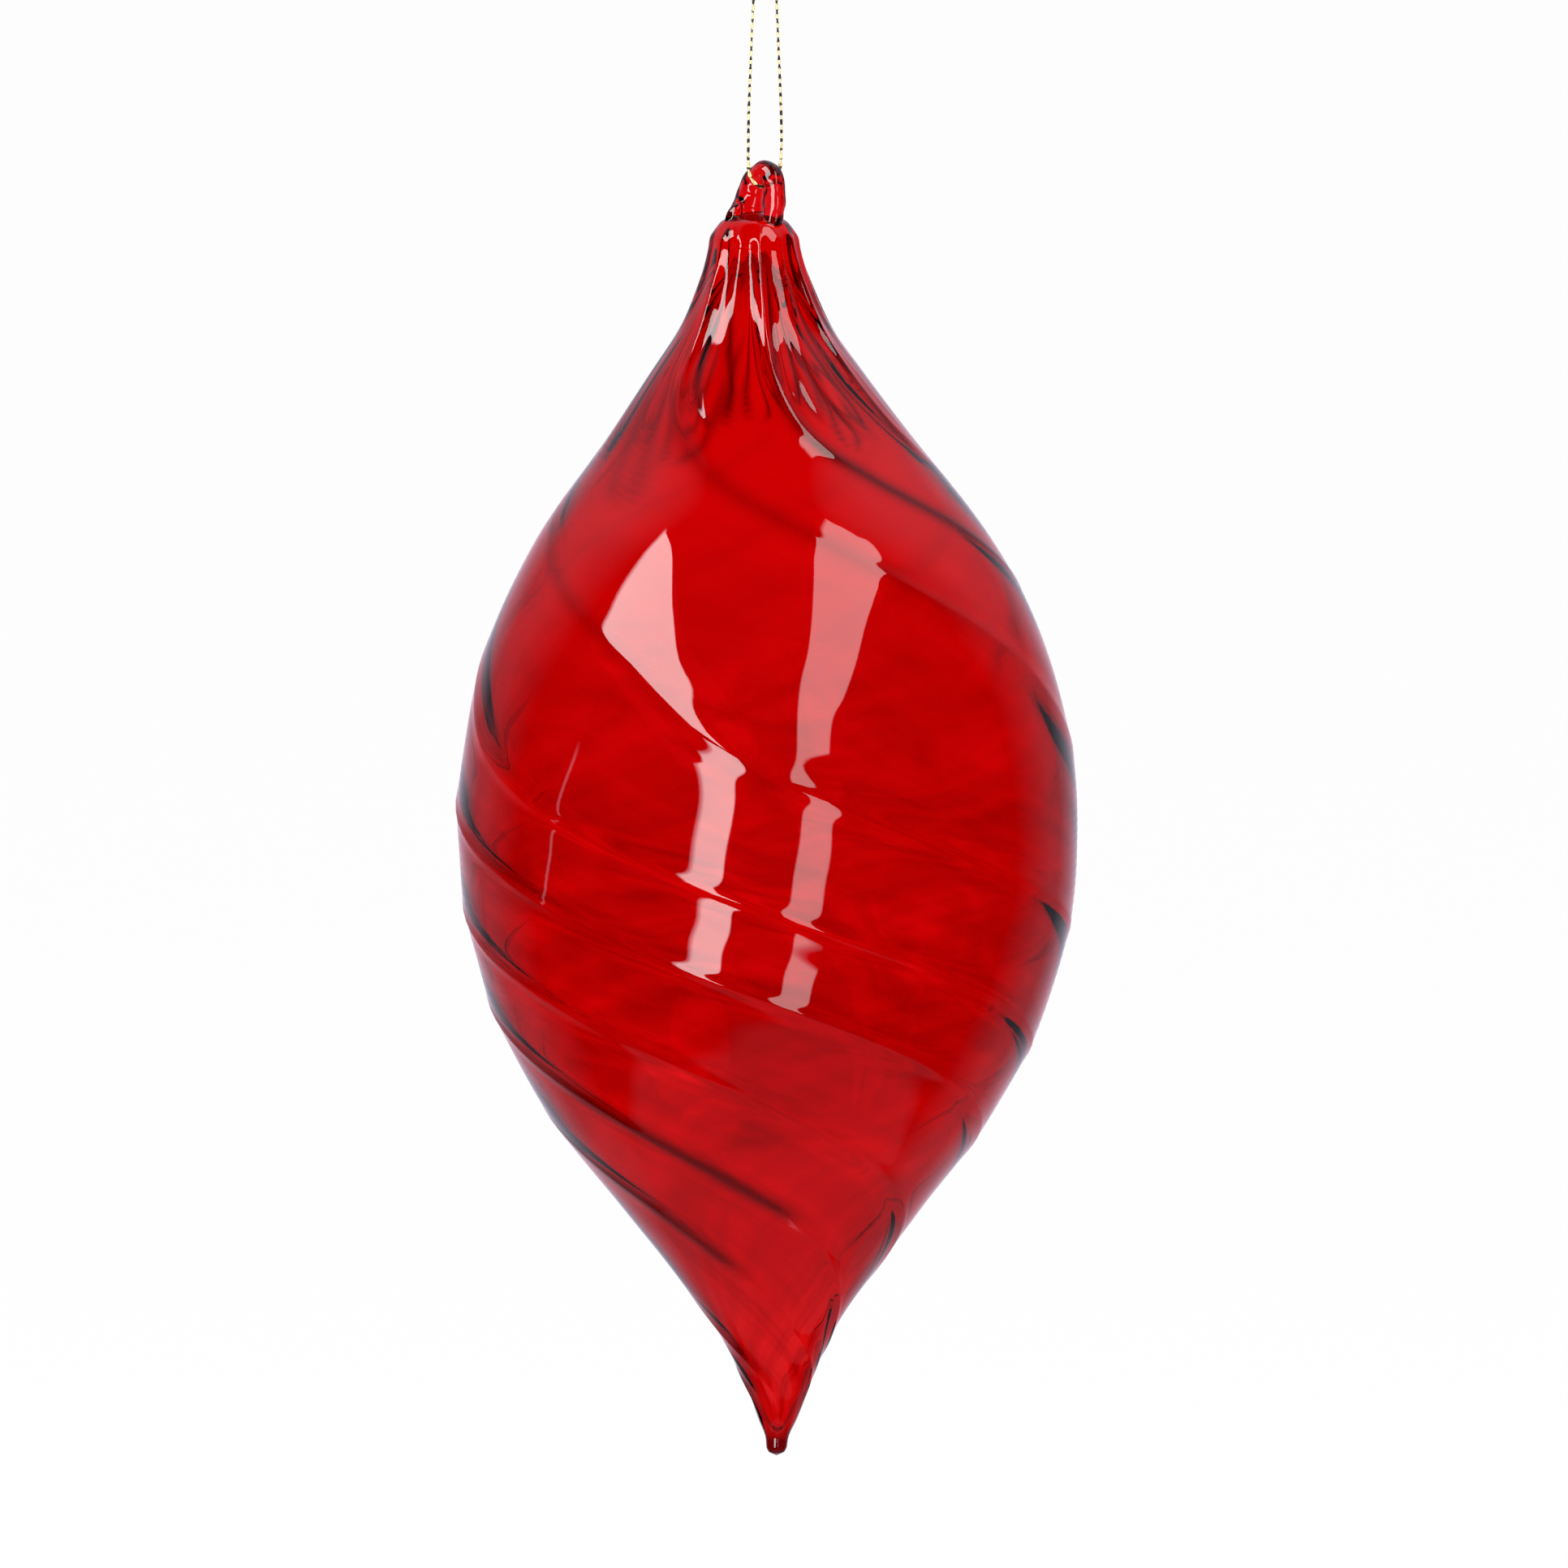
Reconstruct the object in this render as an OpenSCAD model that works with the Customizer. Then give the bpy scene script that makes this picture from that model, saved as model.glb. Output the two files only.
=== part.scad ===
// Hand-blown glass drop ornament on a loop of metallic thread.
// The drop is one piece of glass: a hollow swirled shell, a solid twisted tip,
// a solid collar, and a hook drawn up out of the collar and folded over onto it.
// Millimetres. +Z is up, -Y faces the viewer. The ornament hangs from the
// origin, which is the top of the thread loop, just under its knot.

/* [Glass drop] */
// Height of the glass, from the tip to the top of the hook
drop_height = 186.5; // [150:0.5:230]
// Width of the widest part, measured over the mean of ridges and panels
belly_width = 89; // [70:1:110]
// Thickness of the glass at the widest part
wall = 1.2; // [1:0.1:2]
// Lean of the neck and the tip off the axis, as a share of the pictured drop's
lean = 1; // [0:0.1:1.5]

/* [Swirl] */
// Number of ridges around the drop
ridge_count = 6; // [4:1:8]
// Height of a ridge over the panels beside it, at the widest part
ridge_height = 0.45; // [0:0.05:1.2]
// Height of the rib inside the wall under each ridge, at the widest part
rib_height = 0.5; // [0:0.1:0.8]
// Height of the pleats where the glass is gathered at the neck and the tip
pleat_height = 0.2; // [0:0.02:0.4]
// Turn of the ridges from the collar to the tip, in degrees
swirl = 504; // [0:2:720]
// Azimuth of the first ridge at the collar, in degrees from the front
first_ridge = 56; // [0:1:90]

/* [Hook] */
// Rise of the hook over the collar
hook_rise = 7.6; // [7:0.1:9]
// Thickness of the rod that the hook is drawn into
hook_rod = 3.1; // [2.9:0.1:3.3]
// Turn of the hook's plane from the picture plane, in degrees
hook_turn = 50; // [0:1:90]

/* [Thread] */
// Diameter of the twisted thread
thread_d = 0.4; // [0.3:0.05:0.5]
// Height of the loop's top over the top of the hook
loop_rise = 60; // [40:1:90]
// Length of the cut ends that stick out of the knot, as a share of the usual
tail_share = 1; // [0.5:0.1:1.5]

/* [Hidden] */

glass_red = [0.72, 0.02, 0.03];
thread_gold = [0.80, 0.64, 0.28];

// Shell grid: columns in each panel between two ridges, and rows from tip to collar
panel_columns = 8;
outer_rows = 78;
inner_rows = 34;

body_height = drop_height - hook_rise;
belly_r = belly_width / 2;
hang_height = drop_height + loop_rise;

// Stations along the body, each [share of the body height, value].
// Radius as a share of the belly's radius, before the two ends are rounded off
radius_at = [
    [0, 0.034], [0.015, 0.037], [0.03, 0.062], [0.05, 0.092], [0.10, 0.186],
    [0.15, 0.325], [0.20, 0.481], [0.28, 0.723], [0.36, 0.889], [0.44, 0.977],
    [0.51, 1], [0.58, 0.974], [0.66, 0.890], [0.74, 0.730], [0.82, 0.492],
    [0.87, 0.351], [0.91, 0.241], [0.95, 0.170], [0.97, 0.148], [0.98, 0.141],
    [0.984, 0.133], [0.992, 0.110], [1, 0.080]
];
tip_round = 0.009;
collar_round = 0.008;

// Sideways shift of the centre line at a lean of 1, as a share of the body height
lean_at = [[0, 0.0084], [0.05, 0.0095], [0.13, 0.0067], [0.3, 0.0034], [0.45, 0.0022],
    [0.58, 0.0011], [0.68, 0], [0.78, -0.0028], [0.9, -0.0078], [1, -0.0095]];

// Share of the swirl that is wound on above this height
swirl_at = [[0, 1], [0.05, 0.967], [0.11, 0.831], [0.22, 0.698], [0.34, 0.556], [0.45, 0.415],
    [0.56, 0.28], [0.67, 0.2], [0.744, 0.126], [0.79, 0.067], [0.83, 0.025], [0.87, 0.005],
    [0.93, 0], [1, 0]];

// Height of the ridges, as a share of ridge_height
ridge_at = [[0, 0], [0.02, 0.1], [0.06, 0.8], [0.12, 1.3], [0.18, 1], [0.26, 0.8], [0.4, 1],
    [0.54, 1], [0.64, 0.8], [0.74, 1], [0.84, 1.7], [0.91, 1.7], [0.965, 0.9],
    [0.985, 0.3], [1, 0]];

// Height of the pleats, as a share of pleat_height
pleat_at = [[0, 0], [0.02, 0.2], [0.05, 0.8], [0.08, 0.7], [0.13, 0], [0.8, 0], [0.88, 0.8],
    [0.95, 1], [0.978, 0.8], [0.99, 0.1], [1, 0]];

// Wall thickness, as a share of the wall at the belly
wall_at = [[0.035, 2.2], [0.06, 1.95], [0.1, 1.7], [0.2, 1.3], [0.35, 1.05], [0.5, 1],
    [0.65, 1.1], [0.78, 1.35], [0.88, 1.8], [0.93, 2.3], [0.965, 4.5]];

// The hollow starts and ends at these shares of the body height
hollow_from = 0.036;
hollow_to = 0.968;

// Form of a ridge: the share of its height that is a narrow crest on the scalloped panels,
// the crest's width as a share of the panel's, and how far the inside follows the panels
crest_share = 0.3;
crest_width = 0.12;
inner_share = 0.5;

// Unevenness of the ridges round the drop: a shift in degrees and a strength each
ridge_drift = [1, -4, -17, -12, 19, 11, 4, -3];
ridge_strength = [0.9, 1, 1, 0.8, 0.8, 1, 0.9, 0.8];

// Hook in its own plane: [along the plane, above the collar's top], as shares of the hook's
// rise, and a share of the rod's radius
bend_rise = 0.79;
hook_route = [
    [-0.15, -0.47, 1.9], [-0.17, -0.08, 1.7], [-0.12, 0.2, 1.4], [-0.02, 0.49, 1.2],
    [0.16, 0.7, 1.08], [0.355, bend_rise, 1], [0.53, 0.67, 1], [0.605, 0.42, 1],
    [0.605, 0.16, 0.98], [0.565, -0.1, 0.88]
];
hook_steps = 3;
hook_sides = 14;

// Lobe of glass that was pushed out of the collar beside the hook, in shares of the hook's
// rise from the collar's top: [to the right, across, up], and a share of the rod's radius
lobe_route = [
    [-0.5, -0.22, -0.6], [-0.46, -0.22, -0.4], [-0.43, -0.22, -0.22], [-0.37, -0.22, -0.04],
    [-0.3, -0.22, 0.1], [-0.26, -0.22, 0.17]
];
lobe_radii = [0.4, 0.6, 0.7, 0.68, 0.5, 0.2];

// Thread at the eye: [along the hook's plane, through the eye, over the middle of the bend],
// the first as a share of the hook's rise, the others of the thread's distance from the
// middle of the rod
eye_left = [[0.322, 0, -1.2], [0.31, -0.28, -1.22], [0.283, -0.63, -1.1],
    [0.237, -0.95, -0.74], [0.197, -1.09, -0.33], [0.171, -1.14, 0.33]];
eye_right = [[0.447, 1.1, 0.25], [0.441, 1.0, -0.33], [0.421, 0.88, -0.72],
    [0.382, 0.6, -1.06], [0.349, 0.28, -1.2]];
// Strands, off the line from the collar's middle to the hanging point: [along the hook's
// plane and across it, in the same shares, and a share of the loop's rise]
strand_left = [[0.158, -1.14, 0.03], [0.132, -1.11, 0.11], [0.1, -0.95, 0.22],
    [0.066, -0.73, 0.37], [0.04, -0.43, 0.6], [0.013, -0.25, 0.83], [0, -0.22, 0.97]];
strand_right = [[0, 0.22, 0.97], [0.066, 0.35, 0.83], [0.171, 0.6, 0.6], [0.276, 0.9, 0.37],
    [0.362, 1.06, 0.22], [0.42, 1.17, 0.11], [0.447, 1.2, 0.03]];
thread_gap = 0.09;
thread_sides = 8;
rings_per_point = 3;

// Knot, in thread diameters: wraps of doubled thread, each [radius, height of its middle],
// the turn of the thread inside it, and the two cut ends from its top
knot_wraps = [[1.7, 1.2], [2.2, 2.6], [1.8, 4]];
wrap_rise = 1.4;
knot_turn = 2;
cut_end_left = [[0, 0, 4], [-0.8, 0.25, 5.2], [-2.8, 0.7, 6.6], [-6, 1.2, 6.4],
    [-9, 1.5, 4.6]];
cut_end_right = [[0, 0, 4], [1.1, -0.5, 5.4], [3.3, -1, 7.2], [6.4, -1.5, 7.6],
    [9.4, -1.8, 6.6]];

// Value between stations, on a smooth curve through them
function span_of(t, s, i = 0) = i >= len(s) - 2 || t < s[i + 1][0] ? i : span_of(t, s, i + 1);
function rise(s, i) =
    let (a = max(0, i - 1), b = min(len(s) - 1, i + 1))
    (s[b][1] - s[a][1]) / (s[b][0] - s[a][0]);
function along(t, s) =
    let (
        c = min(max(t, s[0][0]), s[len(s) - 1][0]),
        i = span_of(c, s),
        w = s[i + 1][0] - s[i][0],
        u = (c - s[i][0]) / w
    )
    s[i][1] * (1 + 2 * u) * pow(1 - u, 2) + rise(s, i) * w * u * pow(1 - u, 2)
    + s[i + 1][1] * u * u * (3 - 2 * u) - rise(s, i + 1) * w * u * u * (1 - u);

// Point on a smooth curve through points in space, f of the way from point i to the next.
// A closed curve runs on from its last point to its first.
function place(p, i, closed) =
    closed ? p[(i + len(p)) % len(p)] : p[min(max(i, 0), len(p) - 1)];
function drift(p, i, closed) =
    let (a = place(p, i - 1, closed), b = place(p, i, closed), c = place(p, i + 1, closed))
    (c - a) / (norm(c - b) + norm(b - a));
function curve(p, i, f, closed = false) =
    let (
        a = place(p, i, closed),
        b = place(p, i + 1, closed),
        d = norm(b - a)
    )
    a * (1 + 2 * f) * pow(1 - f, 2) + d * drift(p, i, closed) * f * pow(1 - f, 2)
    + b * f * f * (3 - 2 * f) - d * drift(p, i + 1, closed) * f * f * (1 - f);
function route(p, per, closed = false) =
    closed
    ? [for (i = [0 : len(p) - 1], k = [0 : per - 1]) curve(p, i, k / per, true)]
    : concat([for (i = [0 : len(p) - 2], k = [0 : per - 1]) curve(p, i, k / per)],
        [p[len(p) - 1]]);

function unit(v) = v / norm(v);

// Outline of the shell without its ridges, t from 0 at the tip to 1 at the collar's top
function end_round(t) =
    t < tip_round ? sqrt(1 - pow(1 - t / tip_round, 2))
    : t > 1 - collar_round ? sqrt(max(0, 1 - pow((t - 1 + collar_round) / collar_round, 2)))
    : 1;
function body_r(t) = belly_r * along(t, radius_at) * end_round(t);
function body_x(t) = lean * body_height * along(t, lean_at);
function turn(t) = swirl * along(t, swirl_at);

// Ridge k at the collar
function ridge_azimuth(k) =
    first_ridge + 360 * floor(k / ridge_count)
    + (k % ridge_count) * 360 / ridge_count
    + ridge_drift[k % ridge_count] * 6 / ridge_count;

// Shape between two ridges: u is -1 and 1 on the ridges and 0 in the middle of the panel
function panel_share(j) = 0.5 - 0.5 * cos(180 * j / panel_columns);
function panel_u(j) = 2 * panel_share(j % panel_columns) - 1;
function strength(j) =
    ridge_strength[(floor(j / panel_columns) + (panel_u(j) < 0 ? 0 : 1)) % ridge_count];
function crest(j) = strength(j) * exp(-pow((1 - abs(panel_u(j))) / crest_width, 2));
function scallop(j) = strength(j) * pow(panel_u(j), 2);
function pleat(j) = cos(720 * panel_share(j % panel_columns));
function column_azimuth(j) =
    let (k = floor(j / panel_columns), f = panel_share(j % panel_columns))
    (1 - f) * ridge_azimuth(k) + f * ridge_azimuth(k + 1);

// One ring of the shell: the columns follow the ridges down the swirl. The panels are
// scalloped by one height, a narrow crest of the next runs along each ridge, and pleats
// of the last lie between them.
function shell_ring(t, r, panel_height, crest_height, folds, step) =
    [for (j = [0 : step : ridge_count * panel_columns - 1])
        let (
            a = column_azimuth(j) + turn(t),
            q = r + panel_height * (scallop(j) - 0.33) + crest_height * crest(j)
                + folds * pleat(j)
        )
        [body_x(t) + q * sin(a), -q * cos(a), t * body_height]
    ];

// Closed surface over rings that are listed upwards, with a point at each end
function ring_points(rings, low, high) =
    concat([low], [for (g = rings) each g], [high]);
function ring_faces(rows, n) =
    let (top = rows * n + 1)
    concat(
        [for (j = [0 : n - 1]) [0, 1 + j, 1 + (j + 1) % n]],
        [for (i = [0 : rows - 2], j = [0 : n - 1], half = [0, 1])
            let (
                a = 1 + i * n + j,
                b = 1 + i * n + (j + 1) % n,
                c = a + n,
                d = b + n
            )
            half == 0 ? [a, c, d] : [a, d, b]
        ],
        [for (j = [0 : n - 1]) [top, top - n + (j + 1) % n, top - n + j]]
    );

// Rows closer together towards both ends, where the outline turns quickly
function row_share(i, n) = 0.55 * i / n + 0.225 * (1 - cos(180 * i / n));

module outer_form() {
    rows = [for (i = [0 : outer_rows])
        let (
            t = 0.0012 + 0.9978 * row_share(i, outer_rows),
            h = ridge_height * along(t, ridge_at),
            folds = pleat_height * along(t, pleat_at)
        )
        shell_ring(t, body_r(t), h * (1 - crest_share), h * crest_share, folds, 1)
    ];
    polyhedron(
        ring_points(rows, [body_x(0), 0, 0], [body_x(1), 0, body_height]),
        ring_faces(len(rows), len(rows[0])),
        convexity = 8
    );
}

module hollow() {
    step = 2;
    inset = 0.002;
    span = hollow_to - hollow_from;
    rows = [for (i = [0 : inner_rows])
        let (
            t = hollow_from + inset + (span - 2 * inset) * row_share(i, inner_rows),
            r = max(0.3, body_r(t) - wall * along(t, wall_at)),
            h = min(inner_share * ridge_height * along(t, ridge_at), r / 3),
            rib = min(rib_height * along(t, ridge_at), r / 3)
        )
        shell_ring(t, r, h * (1 - crest_share), -rib, 0, step)
    ];
    polyhedron(
        ring_points(rows, [body_x(hollow_from), 0, hollow_from * body_height],
            [body_x(hollow_to), 0, hollow_to * body_height]),
        ring_faces(len(rows), len(rows[0])),
        convexity = 8
    );
}

// Tube along points, a radius at each, as one closed surface. Its rings face along the
// route, and side is a direction that the route never takes.
function headings(p, closed) =
    [for (i = [0 : len(p) - 1]) unit(place(p, i + 1, closed) - place(p, i - 1, closed))];
module tube(p, r, side, sides, closed = false) {
    go = headings(p, closed);
    n = len(p);
    points = [for (i = [0 : n - 1])
        let (b = unit(cross(go[i], side)), m = cross(b, go[i]))
        for (j = [0 : sides - 1])
            p[i] + r[i] * (cos(360 * j / sides) * m + sin(360 * j / sides) * b)
    ];
    walls = [for (i = [0 : closed ? n - 1 : n - 2], j = [0 : sides - 1], half = [0, 1])
        let (
            a = i * sides + j,
            b = i * sides + (j + 1) % sides,
            c = (i + 1) % n * sides + j,
            d = (i + 1) % n * sides + (j + 1) % sides
        )
        half == 0 ? [a, d, b] : [a, c, d]
    ];
    ends = [
        [for (j = [0 : sides - 1]) j],
        [for (j = [sides - 1 : -1 : 0]) (n - 1) * sides + j]
    ];
    polyhedron(points, closed ? walls : concat(walls, ends), convexity = 6);
}

// Hook, with a rounded end where it lands on the collar's shoulder
module hook() {
    line = route(hook_route, hook_steps);
    body = [for (q = line) hook_rise * [q[0], 0, q[1]]];
    radii = [for (q = line) q[2] * hook_rod / 2];
    n = len(body);
    way = unit(body[n - 1] - body[n - 2]);
    end = body[n - 1];
    cap = [for (a = [35, 60, 82]) end + way * radii[n - 1] * sin(a) * 0.9];
    cap_radii = [for (a = [35, 60, 82]) radii[n - 1] * cos(a)];
    translate([body_x(1), 0, body_height])
        rotate([0, 0, -hook_turn])
            tube(concat(body, cap), concat(radii, cap_radii), [0, 1, 0], hook_sides);
}

module lobe() {
    translate([body_x(1), 0, body_height])
        tube(hook_rise * lobe_route, lobe_radii * hook_rod / 2, [0, 1, 0], hook_sides);
}

module glass_drop() {
    color(glass_red)
        translate([0, 0, -hang_height])
            difference() {
                union() {
                    outer_form();
                    hook();
                    lobe();
                }
                hollow();
            }
}

// Place of a point given along the hook's plane and across it
function in_plane(u, w) =
    [cos(hook_turn) * u + sin(hook_turn) * w, cos(hook_turn) * w - sin(hook_turn) * u];

// Distance of the thread's middle from the middle of the rod that it lies on
reach = hook_rod / 2 + thread_d / 2 + thread_gap;
function at_eye(p) =
    let (q = in_plane(p[0] * hook_rise, p[1] * reach))
    [q[0] + body_x(1), q[1], bend_rise * hook_rise + p[2] * reach - hook_rise - loop_rise];
function on_strand(p) =
    let (q = in_plane(p[0] * hook_rise, p[1] * reach))
    [q[0] + (1 - p[2]) * body_x(1), q[1], -(1 - p[2]) * loop_rise];
function in_knot(a) =
    let (q = in_plane(0, -knot_turn * cos(a)))
    thread_d * [q[0], q[1], knot_wraps[0][1] + knot_turn * sin(a)];

// The loop runs from the eye up one strand, turns in the knot and runs down the other
thread_route = concat(
    [for (p = eye_left) at_eye(p)],
    [for (p = strand_left) on_strand(p)],
    [for (a = [0 : 45 : 180]) in_knot(a)],
    [for (p = strand_right) on_strand(p)],
    [for (p = eye_right) at_eye(p)]
);

module thread_tube(points, closed = false) {
    line = route(points, rings_per_point, closed);
    across = in_plane(1, 0);
    tube(line, [for (q = line) thread_d / 2], [across[0], across[1], 0], thread_sides, closed);
}

// Overhand knot, drawn tight: its wraps of doubled thread show as rounded rings
module knot() {
    last = knot_wraps[len(knot_wraps) - 1];
    side = [for (w = knot_wraps, a = [-60 : 30 : 60])
        [w[0] - 0.5 + 0.5 * cos(a), w[1] + wrap_rise / 2 * sin(a)]];
    rotate_extrude($fn = 24)
        polygon(thread_d * concat([[0, knot_wraps[0][1] - wrap_rise / 2]], side,
            [[0, last[1] + wrap_rise / 2]]));
}

function cut_end(points) =
    [for (p = points) thread_d * (points[0] + tail_share * (p - points[0]))];

module hanging_thread() {
    color(thread_gold)
        union() {
            thread_tube(thread_route, true);
            knot();
            thread_tube(cut_end(cut_end_left));
            thread_tube(cut_end(cut_end_right));
        }
}

glass_drop();
hanging_thread();
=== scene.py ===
import math

import bmesh
import bpy
from mathutils import Matrix, Vector, noise


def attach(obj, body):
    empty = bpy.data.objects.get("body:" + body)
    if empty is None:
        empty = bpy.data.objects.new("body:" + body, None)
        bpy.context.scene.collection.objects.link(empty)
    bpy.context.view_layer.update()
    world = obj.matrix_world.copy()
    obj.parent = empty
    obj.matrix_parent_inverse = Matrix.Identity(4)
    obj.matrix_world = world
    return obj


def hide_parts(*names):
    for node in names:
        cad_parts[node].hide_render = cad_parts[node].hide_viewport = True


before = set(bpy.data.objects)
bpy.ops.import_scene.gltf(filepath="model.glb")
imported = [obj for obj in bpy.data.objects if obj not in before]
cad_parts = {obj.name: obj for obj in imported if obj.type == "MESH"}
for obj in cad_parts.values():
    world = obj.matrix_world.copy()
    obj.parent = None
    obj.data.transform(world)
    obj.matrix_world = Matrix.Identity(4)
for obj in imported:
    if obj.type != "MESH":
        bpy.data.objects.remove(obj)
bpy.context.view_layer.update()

# The glass and the thread are shaped in millimetres, in the row frame's axes, and the
# finished meshes are brought to metres at the end. Heights of the glass count from its tip.
MM = 0.001
DROP_HEIGHT, BELLY_WIDTH, WALL = 186.5, 89.0, 1.2
HOOK_RISE, HOOK_ROD, HOOK_TURN = 7.6, 3.1, 50.0
THREAD_D, LOOP_RISE = 0.4, 60.0
RIDGES, RIDGE_HEIGHT, RIB_HEIGHT, PLEAT_HEIGHT = 6, 0.45, 0.5, 0.2
SWIRL, FIRST_RIDGE = 504.0, 56.0
BODY_HEIGHT = DROP_HEIGHT - HOOK_RISE
HANG_HEIGHT = DROP_HEIGHT + LOOP_RISE

# The view of the photograph, with the camera's place in metres
CAMERA_AT = (0.0026, -1.9924, 0.0248)
LOOK_DOWN = 5.0
CAMERA_DISTANCE, VIEW_WIDTH, SENSOR = 2000.0, 224.65, 36.0

# The glass body by share of its height: [share, value]
RADIUS_AT = [
    (0, 0.034), (0.015, 0.037), (0.03, 0.062), (0.05, 0.092), (0.10, 0.186), (0.15, 0.325),
    (0.20, 0.481), (0.28, 0.723), (0.36, 0.889), (0.44, 0.977), (0.51, 1), (0.58, 0.974),
    (0.66, 0.890), (0.74, 0.730), (0.82, 0.492), (0.87, 0.351), (0.91, 0.241),
    (0.95, 0.170), (0.97, 0.148), (0.98, 0.141), (0.984, 0.133), (0.992, 0.110), (1, 0.080)]
LEAN_AT = [(0, 0.0084), (0.05, 0.0095), (0.13, 0.0067), (0.3, 0.0034), (0.45, 0.0022),
    (0.58, 0.0011), (0.68, 0), (0.78, -0.0028), (0.9, -0.0078), (1, -0.0095)]
SWIRL_AT = [(0, 1), (0.05, 0.967), (0.11, 0.831), (0.22, 0.698), (0.34, 0.556), (0.45, 0.415),
    (0.56, 0.28), (0.67, 0.2), (0.744, 0.126), (0.79, 0.067), (0.83, 0.025), (0.87, 0.005),
    (0.93, 0), (1, 0)]
RIDGE_AT = [(0, 0), (0.02, 0.1), (0.06, 0.3), (0.12, 0.7), (0.18, 1), (0.26, 0.8), (0.4, 1),
    (0.54, 1), (0.64, 0.75), (0.74, 0.35), (0.8, 0.15), (0.84, 0.8), (0.88, 1.8),
    (0.925, 1.8), (0.965, 0.9), (0.985, 0.3), (1, 0)]
PLEAT_AT = [(0, 0), (0.02, 0.05), (0.05, 0.2), (0.08, 0.2), (0.13, 0), (0.86, 0), (0.9, 0.3),
    (0.93, 1), (0.978, 0.8), (0.99, 0.1), (1, 0)]
WALL_AT = [(0.035, 1), (0.06, 1), (0.1, 1.1), (0.2, 1.1), (0.35, 1.05), (0.5, 1),
    (0.65, 1.1), (0.78, 1.35), (0.88, 1.8), (0.93, 2.3), (0.965, 4.5)]
HOLLOW_FROM, HOLLOW_TO = 0.021, 0.968
TIP_ROUND, COLLAR_ROUND = 0.009, 0.008
CREST_SHARE, CREST_WIDTH, INNER_SHARE, RIB_WIDTH = 0.3, 0.12, 0.5, 0.22
RIDGE_DRIFT = [1, -4, -17, -12, 19, 11]
RIDGE_STRENGTH = [0.9, 1, 1, 0.8, 0.8, 1]
# How far the blown surface is uneven, outside and inside
OUTER_UNEVEN, INNER_UNEVEN = 0.05, 0.12

# How dark the painted shade line along each ridge is on the upper and on the lower half, and
# between which shares of height the lower line runs
RIDGE_SHADE_LINES = [(0.2, 0.3, 0.1, 0.25), (0.15, 0.25, 0.1, 0.2), (0.15, 0.25, 0.1, 0.2),
    (0.6, 0.9, 0.06, 0.13), (0.5, 1, 0.15, 0.3), (1, 1, 0.195, 0.38)]
SHADE_LINE_AT = [(0, 0.8), (0.2, 1), (0.3, 1), (0.36, 0.5), (0.45, 0.1), (0.6, 0.15), (0.68, 0.8),
    (0.75, 1), (0.84, 0.9), (0.9, 0.3), (0.96, 0)]
# Folds of the collar that run out in a rounded end lower on the neck, each edged with a line of
# painted shade: azimuth and share of height of the end, the half width and azimuth of the fold,
# in degrees, higher up, and how soft its painted shade line is
NECK_FOLDS = [(-17.6, 0.831, 9, -28, 1), (13.4, 0.842, 6, 19, 1), (28, 0.836, 4, 23, 1),
    (47, 0.82, 6, 32, 1), (-46, 0.768, 6, -54, 2), (78, 0.80, 7, 66, 1), (112, 0.83, 8, 101, 1),
    (146, 0.80, 6, 136, 1), (181, 0.825, 9, 170, 1), (214, 0.79, 7, 204, 1.5),
    (250, 0.815, 8, 240, 1.5), (281, 0.80, 6, 272, 1.5)]
FOLD_LENGTH, FOLD_HEIGHT = 0.075, 0.1
# Half widths of the painted shade lines along the folds and the ridges
FOLD_SHADE_LINE, RIDGE_SHADE_LINE = 0.2, 1.45

# The hook in its own plane: along the plane and above the collar's top, as shares of the
# hook's rise, and a share of the rod's radius
BEND_RISE = 0.79
HOOK_ROUTE = [
    (-0.15, -0.47, 1.9), (-0.17, -0.08, 1.7), (-0.12, 0.2, 1.4), (-0.02, 0.49, 1.2),
    (0.16, 0.7, 1.08), (0.355, BEND_RISE, 1), (0.53, 0.67, 1), (0.605, 0.42, 1),
    (0.605, 0.16, 0.98), (0.565, -0.1, 0.88)]
LOBE_ROUTE = [(-0.5, -0.22, -0.6), (-0.46, -0.22, -0.4), (-0.43, -0.22, -0.22),
    (-0.37, -0.22, -0.04), (-0.3, -0.22, 0.1), (-0.26, -0.22, 0.17)]
LOBE_RADII = [0.4, 0.6, 0.7, 0.68, 0.5, 0.2]
ROD_END = 0.04
ROD_UNEVEN, ROD_FLUTES, ROD_FLUTE_HEIGHT, ROD_FLUTE_TURN = 0.12, 5, 0.045, 2.5
# The shoulder from which the collar and the hook are one melted skin, as a share of height,
# and where that skin is cut to meet the drop's
SHOULDER_FROM, SEAM_AT = 0.955, 0.965
MELT_SIZE, MELT_PASSES, SEAM_PASSES = 0.14, 6, 4

# The thread's route, in the same terms as the source's
EYE_LEFT = [(0.322, 0, -1.2), (0.31, -0.28, -1.22), (0.283, -0.63, -1.1),
    (0.237, -0.95, -0.74), (0.197, -1.09, -0.33), (0.171, -1.14, 0.33)]
EYE_RIGHT = [(0.447, 1.1, 0.25), (0.441, 1.0, -0.33), (0.421, 0.88, -0.72),
    (0.382, 0.6, -1.06), (0.349, 0.28, -1.2)]
STRAND_LEFT = [(0.158, -1.14, 0.03), (0.132, -1.11, 0.11), (0.1, -0.95, 0.22),
    (0.066, -0.73, 0.37), (0.04, -0.43, 0.6), (0.013, -0.25, 0.83), (0, -0.22, 0.97)]
STRAND_RIGHT = [(0, 0.22, 0.97), (0.066, 0.35, 0.83), (0.171, 0.6, 0.6), (0.276, 0.9, 0.37),
    (0.362, 1.06, 0.22), (0.42, 1.17, 0.11), (0.447, 1.2, 0.03)]
THREAD_GAP = 0.09
KNOT_LOW, KNOT_TURN = 1.2, 2
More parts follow.
